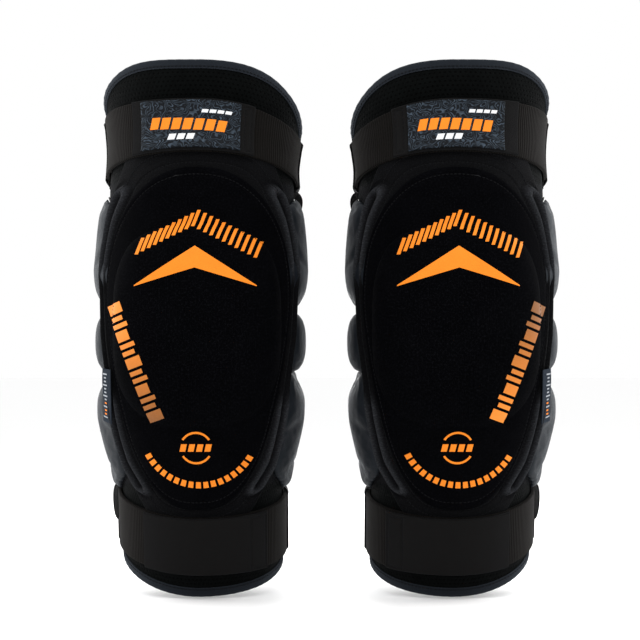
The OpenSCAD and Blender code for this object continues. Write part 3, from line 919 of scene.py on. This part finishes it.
def filled(kind):
    """Points, in the left guard's frame in mm, and faces of a pad filled by simulated pressure."""
    s, c, rho, rise = pad_plan(kind)
    outer, inner = pad_point(s, c, PAD_H + PAD_START * rise, 1), pad_point(s, c, SKIN + 0 * s, 1)
    obj = slab(f"{kind}_filling", "left", outer[::-1], inner[::-1], cloth_uv(s, c / KNEE_R))
    fine = obj.modifiers.new("even_faces", "REMESH")
    fine.mode, fine.voxel_size = "VOXEL", PAD_VOXEL * MM
    obj.data = evaluated(obj)
    obj.modifiers.clear()
    start = coordinates(obj.data)
    tree = KDTree(outer.size // 3 * 2)
    free = np.concatenate([(rho < 0.93).ravel(), np.zeros(rho.size, bool)])
    for k, point in enumerate(to_world(np.concatenate([outer, inner]).reshape(-1, 3), "left")):
        tree.insert(Vector(point), k)
    tree.balance()
    sewn = [k for k, point in enumerate(start) if not free[tree.find(Vector(point))[1]]]
    moved = pressed(obj, sewn) - start
    moved[:, 1:] *= PAD_SIDEWAYS
    length = np.linalg.norm(moved, axis=1, keepdims=True)
    moved *= np.minimum(1, PAD_CAP * MM / np.maximum(length, 1e-9))
    obj.data.vertices.foreach_set("co", (start + moved).ravel())
    obj.modifiers.clear()
    obj.modifiers.new("finer", "SUBSURF").levels = 1
    mesh = evaluated(obj)
    points = coordinates(mesh) / MM + np.array([PAIR_SPACING / 2, 0, 0])  # back to its own frame
    faces = np.array([tuple(face.vertices) for face in mesh.polygons])
    bpy.data.objects.remove(obj)
    return points, faces


def pressed(obj, sewn):
    """World points of a closed piece of cloth after it is filled, with its seam held."""
    obj.vertex_groups.new(name="sewn").add(sewn, 1.0, "REPLACE")
    cloth = obj.modifiers.new("filling", "CLOTH")
    settings = cloth.settings
    settings.vertex_group_mass = "sewn"
    settings.use_pressure = True
    settings.uniform_pressure_force = PAD_PRESSURE
    settings.effector_weights.gravity = 0
    settings.quality = 6
    settings.mass = 0.2
    settings.bending_stiffness = 0.4
    settings.shrink_min = -0.03
    cloth.collision_settings.use_collision = False
    cloth.point_cache.frame_start, cloth.point_cache.frame_end = 1, PAD_FRAMES
    for number in range(1, PAD_FRAMES + 1):
        bpy.context.scene.frame_set(number)
    mesh = evaluated(obj)
    bpy.context.scene.frame_set(1)
    return coordinates(mesh)


def side_pads():
    """Every side pad: each kind is filled once, then placed on both sides of both guards."""
    bodies = {"upper_pad": "thigh_half", "mid_pad": "knee_part", "lower_pad": "shin_half"}
    for kind, body in bodies.items():
        shape = filled(kind)
        for guard in GUARDS:
            for side, word in SIDES:
                node = f"{guard}_{kind}_{word}"
                obj = side_pad(f"{node}_cushion", guard, kind, side, shape)
                finish_piece(obj, f"{guard}_{body}", "satin", slot="side_satin", replaces=[node])
                pad_stitches(guard, kind, side, f"{guard}_{body}", word)


def side_pad(name, guard, kind, side, shape):
    """One pad, from its filled shape if there is one, or else as a plain crowned pillow."""
    if shape is not None:
        points, faces = shape
        return add_mesh(name, guard, points * np.array([side, 1, 1]), faces[:, ::side], sharp=0)
    s, c, _, rise = pad_plan(kind)
    outer, inner = pad_point(s, c, PAD_H + rise, side), pad_point(s, c, SKIN + 0 * s, side)
    turned = (slice(None, None, -1), slice(None, None, side))
    return slab(name, guard, outer[turned], inner[turned], cloth_uv(s, c / KNEE_R), sharp=70)


def pad_stitches(guard, kind, side, body, word):
    """The row of stitches that holds a pad's seam down on the sleeve."""
    middle, reach = pad_outline(kind)
    reach = reach + 0.6
    s, c = middle[0] + reach * np.cos(PAD_TURNS), middle[1] + reach * np.sin(PAD_TURNS)
    stitches(guard, f"{kind}_{word}", [pad_point(s, c, 0.75 + 0 * s, side)], body)


def clear_of_knee(reach, middle, kind):
    """Ends a pad at a circle round the knee, which the middle pad turns inside."""
    radius = (MID_TOP_R if kind == "upper_pad" else MID_LOW_R) + PAD_GAP
    shares = np.linspace(0, 1, 400)[:, None]
    s = middle[0] + shares * reach * np.cos(PAD_TURNS)
    c = middle[1] + shares * reach * np.sin(PAD_TURNS)
    blocked = np.hypot(*on_bent_leg(s, c)) < radius
    first = np.where(blocked.any(axis=0), blocked.argmax(axis=0), len(shares) - 1)
    return reach * shares[first, 0]


# ---- straps, tabs, labels, keepers and tag ----


def stitched_box(first, last, low, high):
    """A bump for a rectangle of stitching pressed into a tab: angles in degrees, s in mm."""
    def bump(s, a):
        x = a * BOX_R
        left, right = first * DEG * BOX_R + BOX_INSET, last * DEG * BOX_R - BOX_INSET
        inside_s = (s > low + BOX_INSET - 1) & (s < high - BOX_INSET + 1)
        inside_x = (x > left - 1) & (x < right + 1)
        d = np.minimum.reduce([
            np.where(inside_s, np.abs(x - left), 9),
            np.where(inside_s, np.abs(x - right), 9),
            np.where(inside_x, np.abs(s - low - BOX_INSET), 9),
            np.where(inside_x, np.abs(s - high + BOX_INSET), 9),
        ])
        return -0.45 * np.exp(-((d / 0.9) ** 2))

    return bump


def straps(guard):
    """The two elastic straps, each all the way round the leg."""
    for name, at, width, half in (
        ("upper_strap", UPPER_STRAP_S, UPPER_STRAP_W, "thigh_half"),
        ("lower_strap", LOWER_STRAP_S, LOWER_STRAP_W, "shin_half"),
    ):
        obj = band(f"{guard}_{name}_webbing", guard, at, width, None, STRAP_H, STRAP_T, 1.1)
        finish_piece(obj, f"{guard}_{half}", "elastic", slot="strap_elastic",
                     replaces=[f"{guard}_{name}"])


TABS = {  # middle, width, and the angles of each guard's tab and of the hook patch
    "upper": (UPPER_STRAP_S, 39.0, {"left": (-40, 33), "right": (-38, 37)}, (-30, 31)),
    "lower": (LOWER_STRAP_S, 44.0, {"left": (-38, 49), "right": (-38, 49)}, (-26, 47)),
}
LABEL_ANGLES = {"left": (-33, 24), "right": (-28, 27)}
TAB_SEAM = 16  # degrees of the lower tab's free end inside its box of stitching
BOX_INSET, BOX_R = 2.6, 72.0  # the box's distance from the tab's edges, and its radius
KEEPER_AT, KEEPER_HALF_W = 98 * DEG, 0.105


def strap_end(guard, which):
    """The end of a strap that peels off: its tab, the hook tape under it and its stitching."""
    at, width, tabs, hook = TABS[which]
    upper, tab = which == "upper", tabs[guard]
    body = f"{guard}_{which}_strap_end"
    patch = band(f"{guard}_{which}_hook_patch", guard, at, width - 4, hook, HOOK_H, HOOK_T - 0.1)
    finish_piece(patch, body, "hook", slot="hook_tape", replaces=[f"{guard}_{which}_hook"])
    first = LABEL_ANGLES[guard][1] + 1 if upper else tab[1] - TAB_SEAM
    box = stitched_box(first, tab[1], at - width / 2, at + width / 2)
    end = band(f"{guard}_{which}_tab_end", guard, at, width, tab, TAB_H, TAB_T, 0.8, box, 0.8)
    finish_piece(end, body, "tab", slot="strap_elastic", replaces=[f"{guard}_{which}_tab"])
    if upper:
        label(guard, body)
    stitch_box(guard, f"{which}_tab", at, width, first, tab[1], TAB_H + TAB_T - 0.35, body)


def label(guard, body):
    """The rubber label, with a slanted row of plain blocks and two rows of short dashes."""
    width = UPPER_STRAP_W - 4
    plate = band(f"{guard}_label_plate", guard, UPPER_STRAP_S, width, LABEL_ANGLES[guard],
                 LABEL_H, LABEL_T, 0.7)
    finish_piece(plate, body, "label", slot="label_rubber", replaces=[f"{guard}_upper_label"])
    top = LABEL_H + LABEL_T
    r = float(sleeve_radius(UPPER_STRAP_S)) + top
    left, right = (x * DEG * r for x in LABEL_ANGLES[guard])
    if GUARDS[guard] < 0:  # both labels read the same way round
        left, right = -right, -left
    span = right - left

    def row(count, start, pitch, fill, low, high, slant, drop=0.0):
        return [((left + span * (start + pitch * i), low - drop * i),
                 (left + span * (start + pitch * i + fill), high - drop * i), slant)
                for i in range(count)]

    blocks = row(7, 0.12, 0.108, 0.085, -3.5, 5.0, 2.2, 0.35)
    dashes = row(4, 0.62, 0.075, 0.06, 8.2, 10.6, 0.8) + row(3, 0.3, 0.09, 0.07, -12.0, -7.6, 1.6)
    for name, bars, material in (("blocks", blocks, "orange"), ("dashes", dashes, "white")):
        raised_bars(guard, f"label_{name}", bars, UPPER_STRAP_S, top, material, body)


def raised_bars(guard, name, bars, at, low, material, body):
    """Slanted blocks on a strap, each from one corner to the other, leaning by its slant."""
    r = (float(sleeve_radius(at)) + low) * GUARDS[guard]  # x runs to the right on both guards
    points, faces = [], []
    for (x0, s0), (x1, s1), slant in bars:
        u, v = np.meshgrid(np.linspace(0, 1, 6), np.linspace(0, 1, 6), indexing="ij")
        s = at + s0 + (s1 - s0) * u
        x = x0 + (x1 - x0) * v + slant * (u - 0.5)
        top = place(s, x / r, low + 0.3 + 0 * s)
        bottom = place(s, x / r, low - 0.1 + 0 * s)
        start = len(points)
        grid = numbered(6, 6) + start
        points += [*top.reshape(-1, 3), *bottom.reshape(-1, 3)]
        faces += [*quads(grid), *(quads(grid)[:, ::-1] + 36), *walls(grid, 36)]
    obj = add_mesh(f"{guard}_{name}", guard, np.array(points), np.array(faces))
    outward(obj.data)
    finish_piece(obj, body, material, slot="label_rubber")


def arch(x):
    """The height of a half circle of radius 1 over x."""
    return np.sqrt(np.clip(1 - x * x, 0, 1))


def keepers(guard, which):
    """Loops of tape at both sides of a strap, sewn down above and below it."""
    upper = which == "upper"
    at, width = (UPPER_STRAP_S, 50.0) if upper else (LOWER_STRAP_S, 55.0)
    for side, word in SIDES:
        a = eased(side * KEEPER_AT - KEEPER_HALF_W, side * KEEPER_AT + KEEPER_HALF_W, 9, 0.01)
        folded = upper and side > 0  # its spare end is folded into a small loop below the strap
        s = np.linspace(at - width / 2 - (22 if folded else 0), at + width / 2, 90)
        s, a = np.meshgrid(s, a, indexing="ij")
        lift = 0.35 + 3.5 * (1 - smooth((np.abs(s - at) / (width / 2) - 0.78) / 0.18))
        if folded:
            lift = lift + 5.2 * arch((s - at + width / 2 + 10) / 10.5)
        elif not upper and side < 0:  # slack in the loop beside the tab's root
            lift = lift + 3.4 * arch((s - at - 9) / 16)
        outer, inner = place(s, a, lift + 1.1), place(s, a, lift)
        obj = slab(f"{guard}_{which}_keeper_{word}", guard, outer, inner, cloth_uv(s, a))
        nodes = [f"{guard}_{which}_keepers"] if side > 0 else []
        body = f"{guard}_{HALVES[upper]}_half"
        finish_piece(obj, body, "keeper", slot="keeper_tape", replaces=nodes)


def tag_point(u, v, lift):
    """A point of the side tag: u runs down it and v away from the seam."""
    h = 12.3 + 0.9 * v + 0.35 * np.sin(u * 7) * v + lift
    return place(-21 - 34 * u, -(54.5 + 8.0 * v) * DEG, h)


def tag_patch(guard, name, u_ends, v_ends, low, high, shape):
    """A closed piece lying on the tag's surface, from low to high above it."""
    ends = [np.linspace(*ends, count) for ends, count in zip((u_ends, v_ends), shape)]
    u, v = np.meshgrid(*ends, indexing="ij")
    outer, inner = (tag_point(u, v, lift)[::-1, ::-1] for lift in (high, low))
    return slab(f"{guard}_{name}", guard, outer, inner, np.stack([v, 3.4 * u], -1)[::-1, ::-1])


def side_tag(guard):
    """A woven tag sewn into the seam beside the outer lower pad, with short plain marks."""
    body = f"{guard}_shin_half"
    tag = tag_patch(guard, "side_tag_woven", (0, 1), (0, 1), 0, 0.6, (30, 14))
    finish_piece(tag, body, "tag", slot="tag_woven", replaces=[f"{guard}_side_tag"])
    for i in range(13):
        start = 0.08 + 0.066 * i
        wide = (0.5, 0.74) if i % 3 else (0.4, 0.9)
        mark = tag_patch(guard, f"tag_mark_{i}", (start, start + 0.026), wide, 0.5, 0.75, (3, 4))
        finish_piece(mark, body, "orange" if i > 7 and i % 3 else "yarn")


# ---- stitches ----


def stitch_mesh(path, pitch=3.0, length=2.1, thick=0.32):
    """Points and faces of short rounded stitches along a path of points in mm."""
    steps = np.linalg.norm(np.diff(path, axis=0), axis=1)
    run = np.concatenate([[0], np.cumsum(steps)])
    points, faces = [], []
    ring = np.linspace(0, 2 * math.pi, 6, endpoint=False)
    for start in np.arange(0.4, run[-1] - length, pitch):
        ends = [np.array([np.interp(start + d, run, path[:, k]) for k in range(3)])
                for d in (0, length)]
        way = ends[1] - ends[0]
        way = way / max(np.linalg.norm(way), 1e-9)
        side = np.cross(way, [0.31, 0.23, 0.92])
        side = side / np.linalg.norm(side)
        other = np.cross(way, side)
        first = len(points)
        for share, size in ((0, 0.45), (0.15, 1), (0.5, 1.15), (0.85, 1), (1, 0.45)):
            centre = ends[0] + way * length * share
            for w in ring:
                points.append(centre + thick * size * (math.cos(w) * side + math.sin(w) * other))
        for row in range(4):
            for k in range(6):
                n = (k + 1) % 6
                base = first + row * 6
                faces.append((base + k, base + n, base + 6 + n, base + 6 + k))
    return points, faces


def stitches(guard, name, paths, body=None):
    """One piece of thread for all the stitches along some paths."""
    points, faces = [], []
    for path in paths:
        p, f = stitch_mesh(np.asarray(path))
        faces += [tuple(i + len(points) for i in face) for face in f]
        points += p
    faces = np.array(faces)
    uv = np.array(points)[:, [0, 2]] / 10
    obj = add_mesh(f"{guard}_{name}_stitches", guard, np.array(points), faces, uv, faces)
    finish_piece(obj, body, "thread")
    return obj


def stitch_box(guard, name, at, width, first, last, height, body):
    """The rectangle of stitches at a tab's free end."""
    inset_a = BOX_INSET / BOX_R
    s0, s1 = at - width / 2 + BOX_INSET, at + width / 2 - BOX_INSET
    a0, a1 = first * DEG + inset_a, last * DEG - inset_a
    corners = [(s0, a0), (s0, a1), (s1, a1), (s1, a0), (s0, a0)]
    path = []
    for (sa, aa), (sb, ab) in zip(corners, corners[1:]):
        for w in np.linspace(0, 1, 24):
            path.append(place(sa + (sb - sa) * w, aa + (ab - aa) * w, height))
    stitches(guard, name, [path], body)


def bending_stitches(guard, name, paths):
    """Stitch rows that cross the knee, split there into an upper and a lower piece."""
    for upper in (True, False):
        runs = []
        for path in paths:
            here = (path[:, 2] > 0.5) if upper else (path[:, 2] < -0.5)
            edges = np.flatnonzero(np.diff(np.concatenate([[0], here.astype(int), [0]])))
            runs += [path[a:b] for a, b in zip(edges[::2], edges[1::2]) if b - a > 3]
        blend_knee(stitches(guard, f"{name}_{LEVELS[upper]}", runs), guard, upper)


def seam_stitches(guard):
    """Stitch rows along both rims, round the cover's edge and down the border's channels."""
    a = np.linspace(-math.pi, math.pi, 400)
    for upper in (True, False):
        half, up = HALVES[upper], 1 if upper else -1
        row = place(rim_s(a, upper) - up * (BINDING_H - 1.4), a, 1.0 + 0 * a)
        stitches(guard, f"{half}_rim", [row], f"{guard}_{half}_half")
    turn = np.linspace(-math.pi, math.pi, 900)
    s, a, h = cover_surface(np.full(turn.shape, 0.936), turn)
    bending_stitches(guard, "cover_edge", [place(s, a, h + 0.1)])
    rows = []
    for share in (0.3, 0.57):
        s, a, h, _ = border_surface(np.full(turn.shape, share), turn)
        rows.append(place(s, a, h + 0.1))
    bending_stitches(guard, "border", rows)


# ---- prints ----

PRINT_STEP, PRINT_T = 1.2, 0.25
PRINT_FROM_Y = -0.3  # in front of everything, in world metres


def front_tree(objects):
    """A search tree of the covers' faces, in world metres, to lay prints on."""
    points, faces = [], []
    for obj in objects:
        start = len(points)
        points += [tuple(v.co) for v in obj.data.vertices]
        faces += [tuple(i + start for i in p.vertices) for p in obj.data.polygons]
    return BVHTree.FromPolygons(points, faces)


def flat_grid(corners):
    """Points (x, z) over a flat four-cornered shape, about PRINT_STEP apart."""
    p = np.array(corners, float)
    across = max(2, int(np.linalg.norm(p[1] - p[0]) / PRINT_STEP) + 2)
    along = max(2, int(np.linalg.norm(p[3] - p[0]) / PRINT_STEP) + 2)
    u, v = np.meshgrid(np.linspace(0, 1, across), np.linspace(0, 1, along), indexing="ij")
    return (
        p[0] * ((1 - u) * (1 - v))[..., None] + p[1] * (u * (1 - v))[..., None]
        + p[2] * (u * v)[..., None] + p[3] * ((1 - u) * v)[..., None]
    )


def on_cover(flat, guard, tree):
    """World points just above and just below the cover, or none where a shape misses it."""
    world_x = GUARDS[guard] * (flat[..., 0] - PAIR_SPACING / 2) * MM
    above, below = [], []
    for x, z in zip(world_x.ravel(), flat[..., 1].ravel() * MM):
        where, normal, _, _ = tree.ray_cast(Vector((x, PRINT_FROM_Y, z)), Vector((0, 1, 0)))
        if where is None:
            return []
        above.append(where + normal * PRINT_T * MM)
        below.append(where - normal * PRINT_T * MM)
    return above + below


def lay_prints(guard, name, shapes, tree, material="orange"):
    """Lays flat shapes on the cover. A shape is four corners (x, z), in mm, as seen in front."""
    parts = {True: ([], []), False: ([], [])}
    for corners in shapes:
        flat = flat_grid(corners)
        laid = on_cover(flat, guard, tree)
        if not laid:
            continue
        points, faces = parts[bool(flat[..., 1].mean() > 0)]
        count = len(laid) // 2
        grid = numbered(*flat.shape[:2]) + len(points)
        points += laid
        face = np.concatenate([quads(grid), quads(grid)[:, ::-1] + count, walls(grid, count)])
        faces += face.tolist()
    for upper, (points, faces) in parts.items():
        if not faces:
            continue
        mesh = bpy.data.meshes.new(f"{guard}_{name}_{LEVELS[upper]}")
        mesh.from_pydata([tuple(p) for p in points], [], faces)
        outward(mesh)
        mesh.shade_smooth()
        mesh.set_sharp_from_angle(angle=40 * DEG)
        obj = linked(mesh.name, mesh)
        finish_piece(obj, None, material, slot="cover_knit")
        blend_knee(obj, guard, upper)


def outward(mesh):
    """Turns a mesh's faces to point outwards."""
    made = bmesh.new()
    made.from_mesh(mesh)
    bmesh.ops.recalc_face_normals(made, faces=made.faces)
    made.to_mesh(mesh)
    made.free()


def unmirrored(shapes, guard):
    """The same shapes on both guards, read the same way round."""
    return [[(x * GUARDS[guard], z) for x, z in corners] for corners in shapes]


def slanted(x, z, width, height, slant):
    """Corners of a block whose top leans towards +x by slant."""
    return [(x, z), (x + width, z), (x + width + slant, z + height), (x + slant, z + height)]


def chevrons():
    """Two generic arrowheads: the upper one drawn in slanted bars, the lower one solid."""
    shapes = []
    pitch, bar, lean, thick = 4.5, 2.5, 4.5, 12.0
    for i in range(20):
        x = -44 + pitch * i
        low = 78 - 0.5 * abs(x + lean / 2 + bar / 2)
        shapes.append(slanted(x, low, bar, thick, lean))
    steps = 6
    for side in (-1, 1):
        for i in range(steps):
            x0, x1 = (side * 44 * k / steps for k in (i, i + 1))
            z0, z1 = (48 - 0.3 * abs(x) for x in (x0, x1))
            t0, t1 = (15 * (1 - abs(x) / 44) + 0.7 for x in (x0, x1))
            shapes.append([(x0, z0), (x1, z1), (x1, z1 + t1), (x0, z0 + t0)])
    return shapes


def side_blocks():
    """A slanted row of plain blocks and bars down the outer side of the cover."""
    shapes = []
    top, bottom = np.array((-66.0, 20.0)), np.array((-33.0, -64.0))
    way = bottom - top
    out = np.array([0.93, 0.36])
    start = 0.0
    for i in range(13):
        long = 0.085 if i % 3 == 0 else 0.036
        p0, p1 = top + way * start, top + way * (start + long)
        width = out * (11.5 if i % 2 == 0 else 9.5)
        shapes.append([tuple(p0), tuple(p1), tuple(p1 + width), tuple(p0 + width)])
        start += long + 0.024
    return shapes


def badge():
    """A ring in two arcs round three short bars, and a long arc of dashes under it."""
    shapes = []
    for middle in (90, 270):
        shapes += arc_blocks((0, -82), 10.5, 1.5, middle - 58, middle + 58, 12, 1.0)
    for i in range(4):
        shapes.append(slanted(-12 + 6.0 * i, -84.6, 4.2, 5.4, 1.3))
    shapes += arc_blocks((2, -67), 40.5, 4.6, -152, -28, 17, 0.66)
    return shapes


def arc_blocks(centre, radius, width, first, last, count, fill):
    """Blocks along an arc between two angles in degrees, each filling a share of its pitch."""
    shapes = []
    for i in range(count):
        a0 = first + (last - first) * i / count
        a1 = a0 + (last - first) / count * fill
        corners = [(radius, a0), (radius, a1), (radius + width, a1), (radius + width, a0)]
        shapes.append([(centre[0] + r * math.cos(a * DEG), centre[1] + r * math.sin(a * DEG))
                       for r, a in corners])
    return shapes


# ---- hidden nodes, floor, lights and camera ----


def dress_nodes(guard):
    """Gives the carried-over nodes under the cover their materials."""
    for node, material in (("knee_cup", "cup"), ("cup_liner", "foam"), ("thigh_pad", "foam"),
                           ("shin_pad", "foam")):
        obj = bpy.data.objects[f"{guard}_{node}"]
        obj.data.materials.clear()
        obj.data.materials.append(MATERIALS[material])


def area_light(name, at, aim, size, power):
    """A white rectangular light at one point, aimed at another."""
    light = bpy.data.lights.new(name, "AREA")
    light.shape = "RECTANGLE"
    light.size, light.size_y = size
    light.energy = power
    obj = linked(name, light)
    obj.location = at
    obj.rotation_euler = (Vector(aim) - Vector(at)).to_track_quat("-Z", "Y").to_euler()


def pale_floor():
    """A wide sheet of pale paper just under the guards."""
    made = bmesh.new()
    bmesh.ops.create_grid(made, x_segments=24, y_segments=24, size=6)
    mesh = bpy.data.meshes.new("floor")
    made.to_mesh(mesh)
    made.free()
    floor = linked("floor", mesh)
    floor.location = (0, 0, cad_box[0][2] - 0.0005)
    t = Tree("floor_paper")
    pale = t.mix(t.noise(t.solid(), 0.4), (0.97, 0.97, 0.97), (0.99, 0.99, 0.99))
    floor.data.materials.append(t.finish(pale, 0.9, t.bump(t.noise(t.solid(), 8.0), 0.02, 0.2)))


def lights():
    """A white world and soft boxes beside, behind and above the pair."""
    world = bpy.data.worlds.new("studio")
    world.use_nodes = True
    world.node_tree.nodes["Background"].inputs[0].default_value = (1, 1, 1, 1)
    world.node_tree.nodes["Background"].inputs[1].default_value = 1.0
    bpy.context.scene.world = world
    for side, word in ((-1, "left"), (1, "right")):
        area_light(f"{word}_box", (0.8 * side, 0.22, 0.1), (0.1 * side, 0, 0), (0.6, 1.3), 4.5)
        area_light(f"{word}_rim", (0.7 * side, 0.75, 0.1), (0.1 * side, 0, 0), (0.5, 1.2), 3)
    area_light("middle_rim", (0, 0.9, 0.1), (0, 0, 0), (0.3, 0.9), 10)
    area_light("top_box", (0, -0.5, 1.1), (0, 0, 0), (1.2, 0.5), 7)


def front_camera():
    """The photograph's view: level, from straight in front."""
    camera = bpy.data.cameras.new("camera")
    camera.sensor_width, camera.lens = 36, 119.75
    camera.clip_start, camera.clip_end = 0.05, 40
    obj = linked("camera", camera)
    obj.location = (-0.0049, -1.6, 0.0105)
    obj.rotation_euler = (math.pi / 2, 0, 0)
    bpy.context.scene.camera = obj


def studio():
    """Everything that isn't the guards."""
    pale_floor()
    lights()
    bpy.context.scene.view_settings.view_transform = "Standard"
    front_camera()


def build_guard(guard):
    """One guard, apart from its side pads, which side_pads() makes."""
    for upper in (True, False):
        sleeve_half(guard, upper)
        rim_binding(guard, upper)
        grip_band(guard, upper)
    covers = front_cover(guard)
    front_border(guard)
    straps(guard)
    for which in ("upper", "lower"):
        strap_end(guard, which)
        keepers(guard, which)
    side_tag(guard)
    seam_stitches(guard)
    tree = front_tree(covers)
    lay_prints(guard, "chevrons", unmirrored(chevrons(), guard), tree)
    lay_prints(guard, "side_blocks", side_blocks(), tree, f"fading_{guard}")
    lay_prints(guard, "badge", unmirrored(badge(), guard), tree)
    dress_nodes(guard)


side_pads()
for each_guard in GUARDS:
    build_guard(each_guard)
studio()
